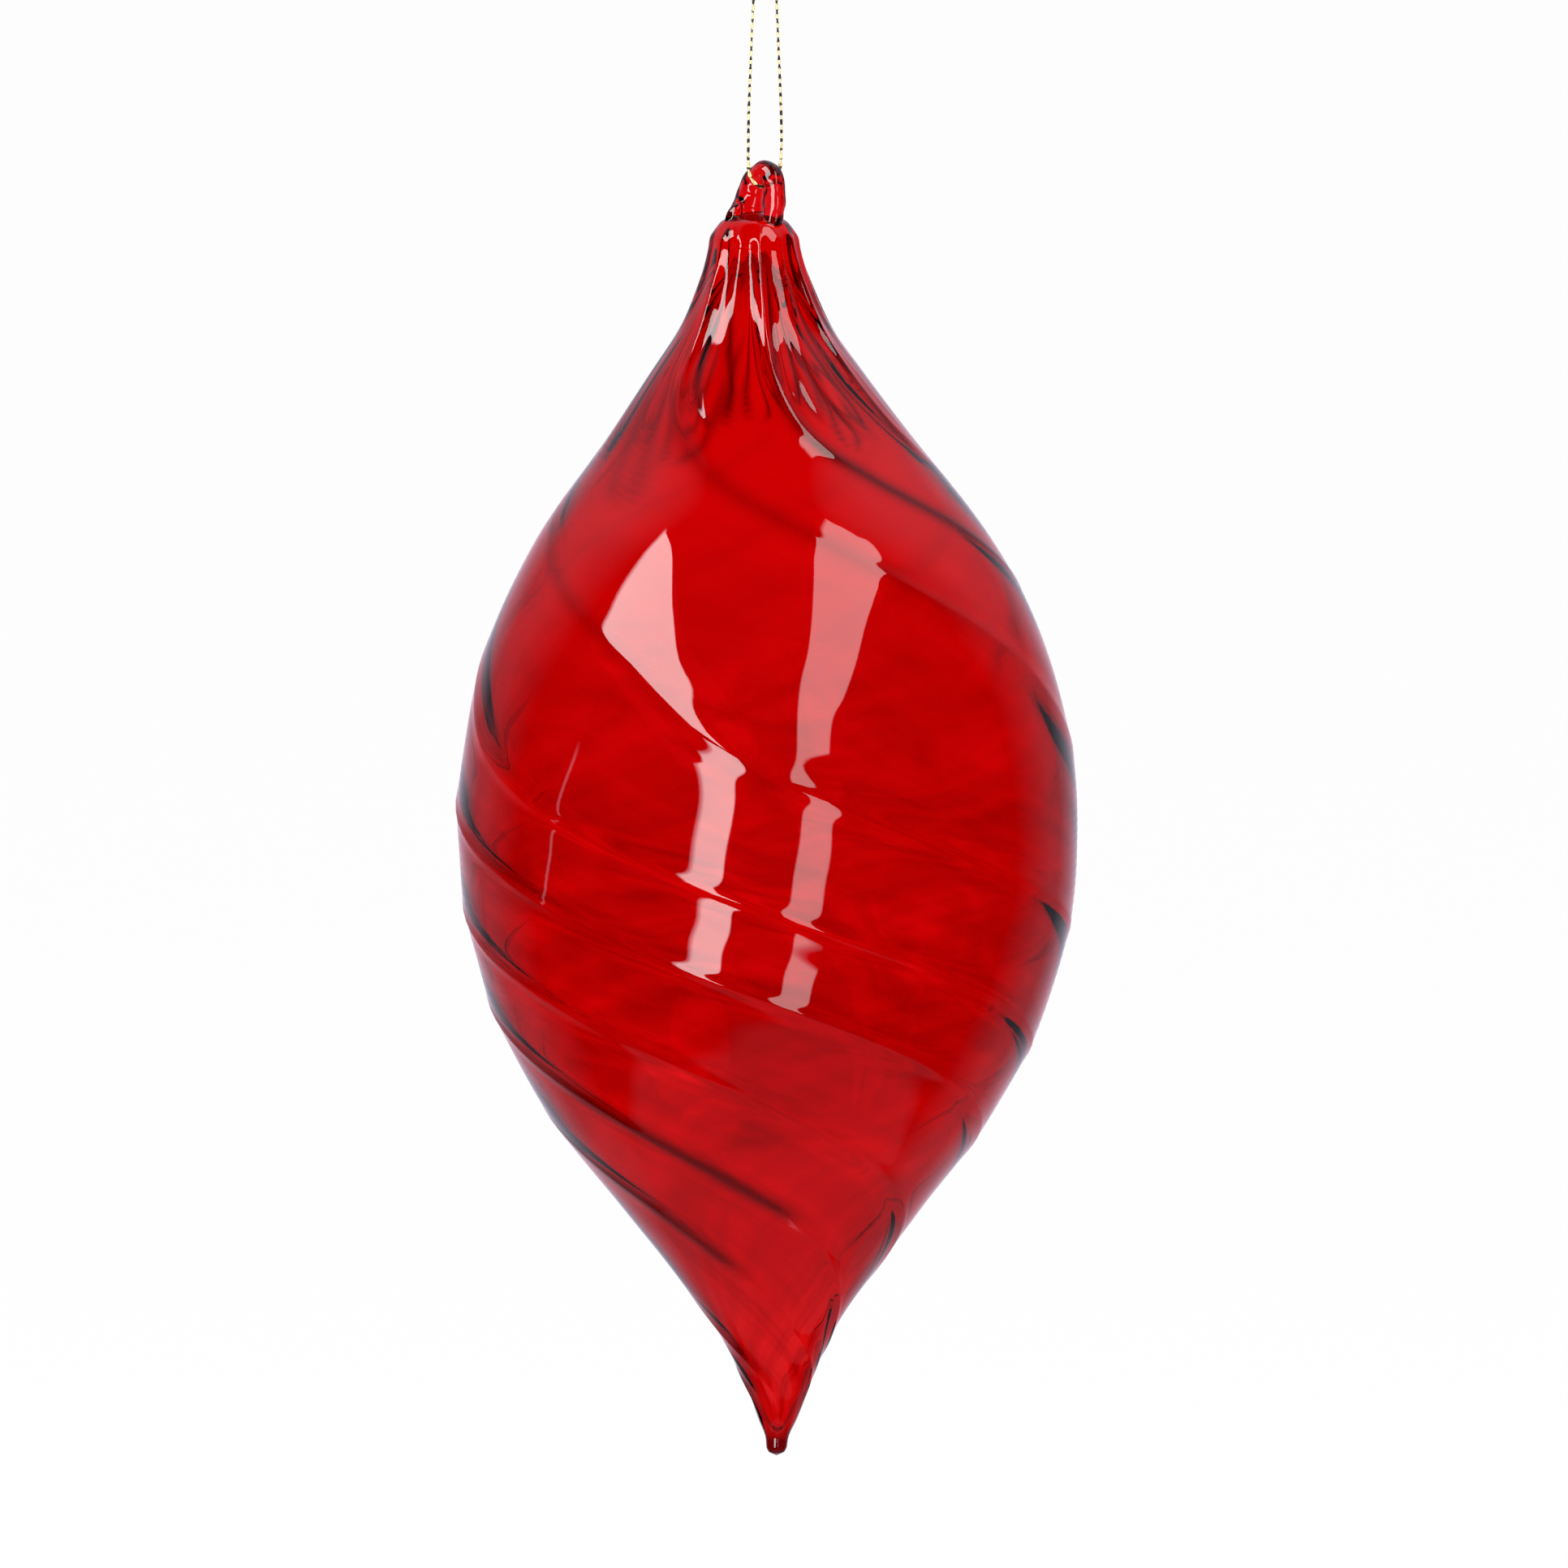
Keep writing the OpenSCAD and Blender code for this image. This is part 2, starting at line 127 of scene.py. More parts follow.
CUT_END_LEFT = [(0, 0, 4), (-0.8, 0.25, 5.2), (-2.8, 0.7, 6.6), (-6, 1.2, 6.4), (-9, 1.5, 4.6)]
CUT_END_RIGHT = [(0, 0, 4), (1.1, -0.5, 5.4), (3.3, -1, 7.2), (6.4, -1.5, 7.6),
    (9.4, -1.8, 6.6)]
# Two plies wind round each other, wider where the foil is loose near the eye
THREAD_PITCH, PLY_RADIUS, PLY_OFF, THREAD_STEP = 2.5, 0.115, 0.092, 0.11
LOOSE_AT_EYE = 0.3
# The doubled wraps of the knot, in turns and thread diameters, and the angle in radians at
# which each strand of them starts
WRAP_TURNS, WRAP_RADIUS, WRAP_BULGE, WRAP_RISE, WRAP_SLANT = 2.6, 1.15, 0.75, 2.9, 0.5
WRAP_STARTS = [0, 0.9, 3.3]


def along(t, stations):
    """Value between stations, on a smooth curve through them."""
    t = min(max(t, stations[0][0]), stations[-1][0])
    last = len(stations) - 1
    i = 0
    while i < last - 1 and t >= stations[i + 1][0]:
        i += 1

    def rise(k):
        a, b = stations[max(0, k - 1)], stations[min(last, k + 1)]
        return (b[1] - a[1]) / (b[0] - a[0])

    w = stations[i + 1][0] - stations[i][0]
    u = (t - stations[i][0]) / w
    return (stations[i][1] * (1 + 2 * u) * (1 - u) ** 2 + rise(i) * w * u * (1 - u) ** 2
        + stations[i + 1][1] * u * u * (3 - 2 * u) - rise(i + 1) * w * u * u * (1 - u))


def smooth_route(points, per):
    """Points on a smooth curve through the given ones, per of them to each span."""
    points = [Vector(p) for p in points]
    last = len(points) - 1

    def drift(k):
        a, b, c = points[max(0, k - 1)], points[k], points[min(last, k + 1)]
        return (c - a) / ((c - b).length + (b - a).length)

    out = []
    for i in range(last):
        a, b = points[i], points[i + 1]
        d = (b - a).length
        for k in range(per):
            f = k / per
            out.append(a * (1 + 2 * f) * (1 - f) ** 2 + d * drift(i) * f * (1 - f) ** 2
                + b * f * f * (3 - 2 * f) - d * drift(i + 1) * f * f * (1 - f))
    return out + [points[-1]]


def gather(f, evenness):
    """f, from 0 to 1, with more of its steps near both ends."""
    return evenness * f + (1 - evenness) / 2 * (1 - math.cos(math.pi * f))


def window(t, low, high, fade):
    """1 between low and high, falling to 0 over fade on either side."""
    def step(x):
        x = min(max(x, 0.0), 1.0)
        return x * x * (3 - 2 * x)
    return step((t - low) / fade + 1) * step((high - t) / fade + 1)


def placed(name, data):
    """A new object of the scene with this data."""
    thing = bpy.data.objects.new(name, data)
    bpy.context.scene.collection.objects.link(thing)
    return thing


def finished_mesh(holder):
    """The mesh that an object shows, bevelled or melted, in exchange for the object."""
    bpy.context.view_layer.update()
    mesh = bpy.data.meshes.new_from_object(holder.evaluated_get(
        bpy.context.evaluated_depsgraph_get()))
    bpy.data.objects.remove(holder)
    return mesh


def shade_smooth(mesh):
    for f in mesh.polygons:
        f.use_smooth = True


# Camera and thread
camera_data = bpy.data.cameras.new("camera")
camera = placed("camera", camera_data)
camera.location = CAMERA_AT
camera.rotation_euler = (math.radians(90 - LOOK_DOWN), 0, 0)
camera_data.sensor_width = SENSOR
camera_data.lens = SENSOR * CAMERA_DISTANCE / VIEW_WIDTH
camera_data.clip_start = 0.05
camera_data.clip_end = 60
bpy.context.scene.camera = camera


def body_x(t):
    return BODY_HEIGHT * along(t, LEAN_AT)


def in_hook_plane(u, w):
    c, s = math.cos(math.radians(HOOK_TURN)), math.sin(math.radians(HOOK_TURN))
    return c * u + s * w, c * w - s * u


def thread_points():
    reach = HOOK_ROD / 2 + THREAD_D / 2 + THREAD_GAP

    def at_eye(p):
        x, y = in_hook_plane(p[0] * HOOK_RISE, p[1] * reach)
        return x + body_x(1), y, (BEND_RISE - 1) * HOOK_RISE + p[2] * reach - LOOP_RISE

    def on_strand(p):
        x, y = in_hook_plane(p[0] * HOOK_RISE, p[1] * reach)
        return x + (1 - p[2]) * body_x(1), y, -(1 - p[2]) * LOOP_RISE

    def in_knot(a):
        x, y = in_hook_plane(0, -KNOT_TURN * math.cos(math.radians(a)))
        return x * THREAD_D, y * THREAD_D, THREAD_D * (
            KNOT_LOW + KNOT_TURN * math.sin(math.radians(a)))

    route = ([at_eye(p) for p in EYE_LEFT] + [on_strand(p) for p in STRAND_LEFT]
        + [in_knot(a) for a in (0, 45, 90, 135, 180)]
        + [on_strand(p) for p in STRAND_RIGHT] + [at_eye(p) for p in EYE_RIGHT])
    return route + [route[0]]


def evenly(points, step):
    """Points along a line of points, step apart."""
    out, left = [points[0].copy()], step
    for a, b in zip(points, points[1:]):
        d = (b - a).length
        while left <= d:
            out.append(a + (b - a) * (left / d))
            left += step
        left -= d
    return out


def twisted_thread(name, lines):
    """A mesh of two plies that wind round each of the lines, as a twisted thread does."""
    curve = bpy.data.curves.new(name, "CURVE")
    curve.dimensions = "3D"
    curve.bevel_depth = PLY_RADIUS
    curve.bevel_resolution = 2
    curve.use_fill_caps = True
    for line in lines:
        line = evenly(line, THREAD_STEP)
        side = Vector((0.3, 1, 0.1))
        frames = []
        for i, p in enumerate(line):
            go = (line[min(i + 1, len(line) - 1)] - line[max(i - 1, 0)]).normalized()
            side = (side - go * side.dot(go)).normalized()
            frames.append((p, side.copy(), go.cross(side)))
        for start in (0, math.pi):
            spline = curve.splines.new("POLY")
            spline.points.add(len(line) - 1)
            for i, (p, m, b) in enumerate(frames):
                a = start + 2 * math.pi * i * THREAD_STEP / THREAD_PITCH
                wide = 1 + LOOSE_AT_EYE * window(p.z + LOOP_RISE, -9, -0.5, 0.5)
                q = p + PLY_OFF * wide * (math.cos(a) * m + math.sin(a) * b)
                spline.points[i].co = (*q, 1)
                spline.points[i].radius = wide
    mesh = finished_mesh(placed(name, curve))
    mesh.transform(Matrix.Scale(MM, 4))
    shade_smooth(mesh)
    return placed(name, mesh)


thread_line = smooth_route(thread_points(), 8)
thread = twisted_thread("thread_loop", [thread_line])


def knot_wraps(start):
    """A strand of the doubled thread as it winds up the knot, in slanting turns."""
    out, steps = [], 120
    for k in range(steps + 1):
        f = k / steps
        a = start + WRAP_TURNS * 2 * math.pi * f
        r = THREAD_D * (WRAP_RADIUS + WRAP_BULGE * math.sin(math.pi * f) ** 0.7)
        rise = THREAD_D * (1 + WRAP_RISE * f + WRAP_SLANT * math.sin(a))
        out.append(Vector((r * math.cos(a), r * math.sin(a), rise)))
    return out


cut_ends = [[tuple(THREAD_D * c for c in p) for p in route]
    for route in (CUT_END_LEFT, CUT_END_RIGHT)]
knot = twisted_thread("thread_knot", [knot_wraps(start) for start in WRAP_STARTS]
    + [smooth_route(route, 8) for route in cut_ends])
thread_length = sum((b - a).length for a, b in zip(thread_line, thread_line[1:])) * MM
[tuple(p * MM) for p in thread_line]


# Glass
def end_round(t):
    if t < TIP_ROUND:
        return math.sqrt(max(0, 1 - (1 - t / TIP_ROUND) ** 2))
    if t > 1 - COLLAR_ROUND:
        return math.sqrt(max(0, 1 - ((t - 1 + COLLAR_ROUND) / COLLAR_ROUND) ** 2))
    return 1


def body_r(t):
    return BELLY_WIDTH / 2 * along(t, RADIUS_AT) * end_round(t)


def ridge_azimuth(k):
    return FIRST_RIDGE + 60 * k + RIDGE_DRIFT[k % RIDGES]


def crest(u, width):
    return math.exp(-((1 - abs(u)) / width) ** 2)


def row_share(s):
    """Share of height of a row; rows lie closer at the collar and the tip."""
    return gather(s, 0.55)


def shell_point(t, column, r, panel_height, crest_height, width, folds=0.0):
    """A point of the shell; column counts the ridges, so that columns run along them."""
    k = int(column) % RIDGES
    # columns lie closer at the crests
    f = gather(column - int(column), 0.4)
    a = (1 - f) * ridge_azimuth(k) + f * ridge_azimuth(k + 1)
    u = 2 * f - 1
    strength = RIDGE_STRENGTH[k if u < 0 else (k + 1) % RIDGES]
    q = r + panel_height * (u * u * strength - 0.33) + crest_height * strength * crest(u, width)
    q += folds * math.cos(4 * math.pi * f)
    a = math.radians(a + SWIRL * along(t, SWIRL_AT))
    return Vector((body_x(t) + q * math.sin(a), -q * math.cos(a), t * BODY_HEIGHT))


def uneven(p, size, seed):
    return noise.noise(p / size + Vector((seed, 3.7 * seed, -seed)))


def sphere_rows(bm, columns, rows):
    """A new closed sphere in bm, with the row and column of each of its vertices."""
    made = bmesh.ops.create_uvsphere(bm, u_segments=columns, v_segments=rows, radius=1)
    for v in made["verts"]:
        row = round(rows * (1 - math.acos(max(-1, min(1, v.co.z))) / math.pi))
        turn = math.atan2(v.co.y, v.co.x) / (2 * math.pi)
        yield v, row, round(turn * columns) % columns


def neck_fold(a, t, r):
    """How far azimuth a lies outside the nearest fold, in mm, and its fade and softness."""
    near = (9, 0, 1)
    for azimuth, end, half, azimuth_above, soft in NECK_FOLDS:
        up = (t - end) / FOLD_LENGTH
        if 0 < up < 1.6:
            off = (a - azimuth - (azimuth_above - azimuth) * up + 180) % 360 - 180
            edge = math.radians(abs(off) - half * math.sqrt(min(1, 2.5 * up))) * r
            near = min(near, (edge, min(1, 5 * up, 2.5 * (1.6 - up)), soft))
    return near


def outer_row(t, column):
    h = RIDGE_HEIGHT * along(t, RIDGE_AT)
    p = shell_point(t, column, body_r(t), h * (1 - CREST_SHARE), h * CREST_SHARE, CREST_WIDTH,
        PLEAT_HEIGHT * along(t, PLEAT_AT))
    out = Vector((p.x - body_x(t), p.y, 0))
    if out.length > 1.5:
        grow = OUTER_UNEVEN * uneven(p, 40, 1.3) * window(t, 0.12, 0.9, 0.1)
        edge, fade, _ = neck_fold(math.degrees(math.atan2(out.x, -out.y)), t, out.length)
        grow += FOLD_HEIGHT * fade * window(-edge, 0.9, 99, 1.2)
        p += out.normalized() * grow
    return p


def outer_skin(bm, columns=288, rows=172):
    for v, row, j in sphere_rows(bm, columns, rows):
        t = row_share(row / rows)
        v.co = outer_row(t, j * RIDGES / columns)


def inner_skin(bm, columns=144, rows=120):
    verts = []
    for v, row, j in sphere_rows(bm, columns, rows):
        t = HOLLOW_FROM + (HOLLOW_TO - HOLLOW_FROM) * row_share(row / rows)
        ends = math.sqrt(max(0, 1 - abs(2 * row / rows - 1) ** 40))
        r = max(0.3, body_r(t) - WALL * along(t, WALL_AT))
        share = along(t, RIDGE_AT)
        h = min(INNER_SHARE * RIDGE_HEIGHT * share, r / 3) * (1 - CREST_SHARE)
        rib = min(RIB_HEIGHT * share, r / 3) * (0.4 + 0.6 * window(t, 0.24, 2, 0.1))
        p = shell_point(t, j * RIDGES / columns, r * ends, h * ends, -rib * ends, RIB_WIDTH)
        out = Vector((p.x - body_x(t), p.y, 0))
        if out.length > 3:
            grow = INNER_UNEVEN * uneven(p, 17, 8.2)
            p += out.normalized() * grow * window(t, 0.15, 0.86, 0.1)
        v.co = p
        verts.append(v)
    return verts


def rod_skin(bm, route, shares, place, columns, rows):
    """A closed rod of hot glass in bm along a route, rounded at both ends."""
    per = 12
    line = smooth_route([Vector(p) * HOOK_RISE for p in route], per)
    reach = [(i * per, share) for i, share in enumerate(shares)]
    last = len(line) - 1
    side = Vector((0, 1, 0))
    for v, row, j in sphere_rows(bm, columns, rows):
        s = row / rows
        at = min(max((s - ROD_END) / (1 - 2 * ROD_END), 0), 1) * last
        i = min(int(at), last - 1)
        p = line[i].lerp(line[i + 1], at - i)
        go = (line[min(i + 2, last)] - line[max(i - 1, 0)]).normalized()
        r = HOOK_ROD / 2 * along(at, reach)
        if s > 1 - ROD_END:
            e = (s - 1 + ROD_END) / ROD_END
            p = p + go * r * math.sin(e * math.pi / 2) * 0.9
            r *= math.cos(e * math.pi / 2)
        if s < ROD_END:
            r *= s / ROD_END
        across = side.cross(go).normalized()
        a = 2 * math.pi * j / columns
        grow = 1 + ROD_UNEVEN * uneven(p + Vector((math.cos(a), math.sin(a), 0)), 1.6, 2.4)
        grow += ROD_FLUTE_HEIGHT * math.cos(ROD_FLUTES * a + ROD_FLUTE_TURN * s)
        v.co = place @ (p + r * grow * (math.cos(a) * across + math.sin(a) * side))


def soften(bm, verts, passes):
    for _ in range(passes):
        bmesh.ops.smooth_vert(bm, verts=verts, factor=0.5, use_axis_x=True,
            use_axis_y=True, use_axis_z=True)


def melted_top(cut):
    """The collar's shoulder, the hook and the lobe beside it, run together as hot glass is."""
    bm = bmesh.new()
    columns, rows, floor_rows = 120, 60, 4
    for v, row, j in sphere_rows(bm, columns, rows):
        up = max(0, row - floor_rows) / (rows - floor_rows)
        p = outer_row(SHOULDER_FROM + (1 - SHOULDER_FROM) * up, j * RIDGES / columns)
        if row < floor_rows:
            middle = Vector((body_x(SHOULDER_FROM), 0, p.z))
            p = middle + (p - middle) * (row / floor_rows)
        v.co = p
    top = Matrix.Translation((body_x(1), 0, BODY_HEIGHT))
    rod_skin(bm, [(u, 0, h) for u, h, _ in HOOK_ROUTE], [r for _, _, r in HOOK_ROUTE],
        top @ Matrix.Rotation(math.radians(-HOOK_TURN), 4, "Z"), 32, 90)
    rod_skin(bm, LOBE_ROUTE, LOBE_RADII, top, 24, 40)
    mesh = bpy.data.meshes.new("melted_top")
    bm.to_mesh(mesh)
    bm.free()
    holder = placed("melted_top", mesh)
    melt = holder.modifiers.new("melt", "REMESH")
    melt.mode = "VOXEL"
    melt.voxel_size = MELT_SIZE
    melted = finished_mesh(holder)
    bm = bmesh.new()
    bm.from_mesh(melted)
    soften(bm, bm.verts, MELT_PASSES)
    bmesh.ops.bisect_plane(bm, geom=bm.verts[:] + bm.edges[:] + bm.faces[:],
        plane_co=(0, 0, cut), plane_no=(0, 0, 1), clear_inner=True)
    bm.to_mesh(melted)
    bm.free()
    return melted


def fold_shade(p):
    """Painted shade on the outer skin at p, for the dark lines along the folds and ridges: 1 along
    a line, 0 away from it.
    """
    t = p.z / BODY_HEIGHT
    r = math.hypot(p.x - body_x(t), p.y)
    if not 0.03 < t < 0.96 or r < body_r(t) - 0.6:
        return 0
    a = math.degrees(math.atan2(p.x - body_x(t), -p.y))
    turn = (along(t + 0.01, SWIRL_AT) - along(t - 0.01, SWIRL_AT)) * SWIRL
    lying = 1 / math.hypot(1, r * math.radians(turn) / (0.02 * BODY_HEIGHT))
    shade = 0
    for k, (upper, lower, low, high) in enumerate(RIDGE_SHADE_LINES):
        off = (a - ridge_azimuth(k) - SWIRL * along(t, SWIRL_AT) + 180) % 360 - 180
        off = math.radians(off) * r * lying
        strength = upper if t > 0.45 else lower * window(t, low + 0.02, high - 0.02, 0.02)
        shade = max(shade, strength * math.exp(-(off / RIDGE_SHADE_LINE) ** 2))
    shade *= along(t, SHADE_LINE_AT)
    edge, fade, soft = neck_fold(a, t, r)
    line = math.exp(-(edge / soft / (FOLD_SHADE_LINE + 0.035 * r)) ** 2)
    return max(shade, 0.95 / soft ** 0.5 * fade * line)


def twist(p):
    """The share of a turn round the drop counted along the ridges, as a point on a circle."""
    t = min(max(p.z / BODY_HEIGHT, 0), 1)
    a = math.atan2(p.x - body_x(t), -p.y) - math.radians(SWIRL * along(t, SWIRL_AT))
    return math.cos(a), math.sin(a), 0.9 * t


def glass_mesh():
    bm = bmesh.new()
    outer_skin(bm)
    cut = SEAM_AT * BODY_HEIGHT
    bmesh.ops.delete(bm, geom=[v for v in bm.verts if v.co.z > cut], context="VERTS")
    top = max(v.co.z for v in bm.verts)
    rim_low = [e for e in bm.edges if e.is_boundary]
    bm.from_mesh(melted_top(top + 0.12))
    rim_high = [e for e in bm.edges if e.is_boundary and e not in set(rim_low)]
    bmesh.ops.bridge_loops(bm, edges=rim_low + rim_high)
    bmesh.ops.recalc_face_normals(bm, faces=bm.faces[:])
    seam = [v for v in bm.verts if abs(v.co.z - top) < 0.5]
    soften(bm, seam, SEAM_PASSES)
    inside = inner_skin(bm)
    faces = {f for v in inside for f in v.link_faces}
    bmesh.ops.reverse_faces(bm, faces=list(faces))
    for v in bm.verts:
        v.co.z -= HANG_HEIGHT
        v.co *= MM
    mesh = bpy.data.meshes.new("glass")
    bm.to_mesh(mesh)
    bm.free()
    shade_smooth(mesh)
    # painted shade: how dark the lines along the folds and ridges are, kept at each vertex for the
    # glass's red
    fold = mesh.attributes.new("fold", "FLOAT", "POINT")
    hang = Vector((0, 0, HANG_HEIGHT))
    fold.data.foreach_set("value", [fold_shade(v.co / MM + hang) for v in mesh.vertices])
    lie = mesh.attributes.new("twist", "FLOAT_VECTOR", "POINT")
    lie.data.foreach_set("vector", [c for v in mesh.vertices for c in twist(v.co / MM + hang)])
    return mesh


glass = placed("glass", glass_mesh())


# Shader sums
class Sum:
    """A shader value: sums written with it become Math nodes."""

    def __init__(self, tree, socket):
        self.tree, self.socket = tree, socket

    def math(self, operation, *others, clamp=False):
        n = self.tree.nodes.new("ShaderNodeMath")
        n.operation = operation
        n.use_clamp = clamp
        for i, v in enumerate((self, *others)):
            if isinstance(v, Sum):
                self.tree.links.new(v.socket, n.inputs[i])
            else:
                n.inputs[i].default_value = v
        return Sum(self.tree, n.outputs[0])

    def __add__(self, other):
        return self.math("ADD", other)

    def __sub__(self, other):
        return self.math("SUBTRACT", other)

    def __rsub__(self, other):
        return self.math("MULTIPLY_ADD", -1.0, other)

    def __mul__(self, other):
        return self.math("MULTIPLY", other)

    def __truediv__(self, other):
        return self.math("DIVIDE", other)

    def __abs__(self):
        return self.math("ABSOLUTE")

    __radd__ = __add__
    __rmul__ = __mul__

    def clamp(self):
        return self.math("ADD", 0.0, clamp=True)

    def step_over(self, edge, soft):
        """0 well under the edge, 1 well over it."""
        return ((self - edge) / soft + 0.5).clamp()


class Tree:
    def __init__(self, owner):
        owner.use_nodes = True
        self.tree = owner.node_tree
        self.tree.nodes.clear()

    def node(self, kind, settings=(), **sockets):
        n = self.tree.nodes.new(kind)
        for key, value in dict(settings).items():
            setattr(n, key, value)
        for key, value in sockets.items():
            self.put(n.inputs[key.replace("_", " ")], value)
        return n

    def put(self, socket, value):
        if isinstance(value, Sum):
            value = value.socket
        if isinstance(value, bpy.types.NodeSocket):
            self.tree.links.new(value, socket)
        else:
            socket.default_value = value

    def value(self, node, output=0):
        return Sum(self.tree, node.outputs[output])

    def mix(self, factor, a, b):
        """Colour a where the factor is 0, b where it is 1."""
        n = self.node("ShaderNodeMix", {"data_type": "RGBA"})
        for k, value in ((0, factor), (6, a), (7, b)):
            self.put(n.inputs[k], value)
        return n.outputs[2]


# Materials
# Reds of the glass as one wall shows them
THIN_RED, DEEP_RED, NECK_RED = (1.0, 0.07, 0.1, 1), (0.68, 0.02, 0.04, 1), (0.995, 0.06, 0.09, 1)
LOW_RED, DRAWN_RED, DRIP_RED = (0.76, 0.035, 0.06, 1), (1.0, 0.2, 0.2, 1), (0.2, 0.01, 0.02, 1)
# the second of the next two reds is painted shade, for the dark lines along the folds and ridges
SEED_RED, FOLD_SHADE_RED = (0.1, 0.01, 0.015, 1), (0.06, 0.02, 0.035, 1)
GLASS_DEPTH, GLASS_DENSITY = (0.99, 0.2, 0.25, 1), 900.0
GOLD_FOIL, DARK_CORE = (0.95, 0.78, 0.4, 1), (0.035, 0.022, 0.01, 1)
FOIL_TURNS = 4800
# Heights in metres under the hanging point
NECK_AT, BELLY_AT, LOW_AT, TIP_AT, DRIP_AT, EYE_AT = -0.13, -0.16, -0.185, -0.222, -0.2432, -0.0595


def red_glass():
    m = bpy.data.materials.new("red_glass")
    t = Tree(m)
    where = t.node("ShaderNodeTexCoord").outputs["Object"]
    height = t.value(t.node("ShaderNodeSeparateXYZ", Vector=where), 2)

    # clouds and lying streaks in the red, as the gather was turned in the colour
    cloud = t.node("ShaderNodeTexNoise", Scale=1.0, Detail=3.0, Distortion=1.2,
        Vector=t.node("ShaderNodeMapping", Vector=where, Scale=(42, 42, 95),
            Rotation=(0, 0.25, 0)).outputs[0])
    lying = t.node("ShaderNodeAttribute", {"attribute_name": "twist"}).outputs["Vector"]
    streak = t.node("ShaderNodeTexNoise", Scale=3.5, Detail=3.0, Distortion=0.3, Vector=lying)
    ends = abs(height - BELLY_AT).step_over(0.055, 0.03)
    drawn = t.value(streak).step_over(0.5, 0.22)
    mottle = (t.value(cloud).step_over(0.5, 0.28) * (0.6 - 0.4 * ends)
        + drawn * (0.4 + 0.4 * ends))
    red = t.mix(mottle, DEEP_RED, THIN_RED)
    # thinner colour where the neck was pulled
    red = t.mix((height - NECK_AT).step_over(0, 0.05) * 0.85, red, NECK_RED)
    # deeper towards the tip, where the glass is drawn together, and darkest in the drip
    red = t.mix(((LOW_AT - height) / 0.06).clamp() * 0.6, red, LOW_RED)
    red = t.mix(drawn * (TIP_AT - height).step_over(0, 0.016), red, DRAWN_RED)
    red = t.mix((DRIP_AT - height).step_over(0, 0.002), red, DRIP_RED)
    # seeds, small and few
    seeds = t.node("ShaderNodeTexVoronoi", Vector=where, Scale=42.0)
    red = t.mix(0.7 - t.value(seeds).step_over(0.014, 0.008) * 0.7, red, SEED_RED)
    # painted shade: a deeper red along the folds and the ridges stands in for the dark lines their
    # refraction shows
    fold = t.value(t.node("ShaderNodeAttribute", {"attribute_name": "fold"}), 2)
    red = t.mix(fold.clamp(), red, FOLD_SHADE_RED)
    body = t.node("ShaderNodeBsdfPrincipled", Base_Color=red, Roughness=0.0,
        IOR=1.5, Transmission_Weight=1.0)
    depth = t.node("ShaderNodeVolumeAbsorption", Color=GLASS_DEPTH, Density=GLASS_DENSITY)
    t.node("ShaderNodeOutputMaterial", Surface=body.outputs[0], Volume=depth.outputs[0])
    return m


def gold_thread():
    m = bpy.data.materials.new("gold_thread")
    t = Tree(m)
    where = t.node("ShaderNodeTexCoord").outputs["Object"]
    flecks = t.node("ShaderNodeTexNoise", Vector=where, Scale=1100.0, Detail=1.0)
    height = t.value(t.node("ShaderNodeSeparateXYZ", Vector=where), 2)
    # the foil turns round the core, so bright and dark lengths take turns; near the eye it
    # covers more of the core
    turns = (height * FOIL_TURNS).math("SINE")
    covered = 0.52 + 0.16 * (EYE_AT - height).step_over(0, 0.001)
    dark = (t.value(flecks) + turns * 0.3).step_over(covered, 0.1)
    body = t.node("ShaderNodeBsdfPrincipled", Base_Color=t.mix(dark, GOLD_FOIL, DARK_CORE),
        Metallic=0.45, Roughness=0.3)
    t.node("ShaderNodeOutputMaterial", Surface=body.outputs[0])
    return m


glass.data.materials.append(red_glass())
gold = gold_thread()
for piece in (thread, knot):
    piece.data.materials.clear()
    piece.data.materials.append(gold)


# Studio
# What the glass mirrors and what shows through it, by direction: elevation against azimuth
# from the front, in degrees. The sweep's front edge, and each light box's sides nearer to and
# farther from the middle
SWEEP_EDGE = [(-90, 118), (-30, 116), (0, 118), (25, 108), (50, 88), (75, 60), (90, 45)]
LEFT_BOX_NEAR = [(-55, 19), (-25, 17), (-5, 15), (8, 13.5), (20, 20), (27, 27), (35, 40),
    (42, 48), (50, 61), (53, 76)]
LEFT_BOX_FAR = [(-55, 34), (-25, 29.5), (-5, 27), (8, 26), (15, 32), (20, 38), (27, 50),
    (32, 62), (35, 82), (47, 79), (53, 77)]
RIGHT_BOX_NEAR = [(-55, 8), (-30, 8), (-10, 10), (5, 12), (25, 13.5), (40, 21), (53, 31),
    (63, 46), (66, 60)]
RIGHT_BOX_FAR = [(-55, 20), (-30, 20), (-10, 22), (5, 23), (20, 26), (26, 33), (38, 47),
    (44, 62), (48.5, 81), (56, 75), (63, 63), (66, 57)]
STRIP_NEAR = [(-14, 92), (0, 85), (12, 77)]
STRIP_FAR = [(-14, 93.2), (0, 86.2), (12, 78.2)]
LEFT_BOX_LIGHT, RIGHT_BOX_LIGHT, STRIP_LIGHT = 9, 4.2, 1.5
ROOM_LIGHT = 0.95
PLAIN_WHITE, COOL_WALL = (1, 1, 1, 1), (0.94, 0.81, 1, 1)


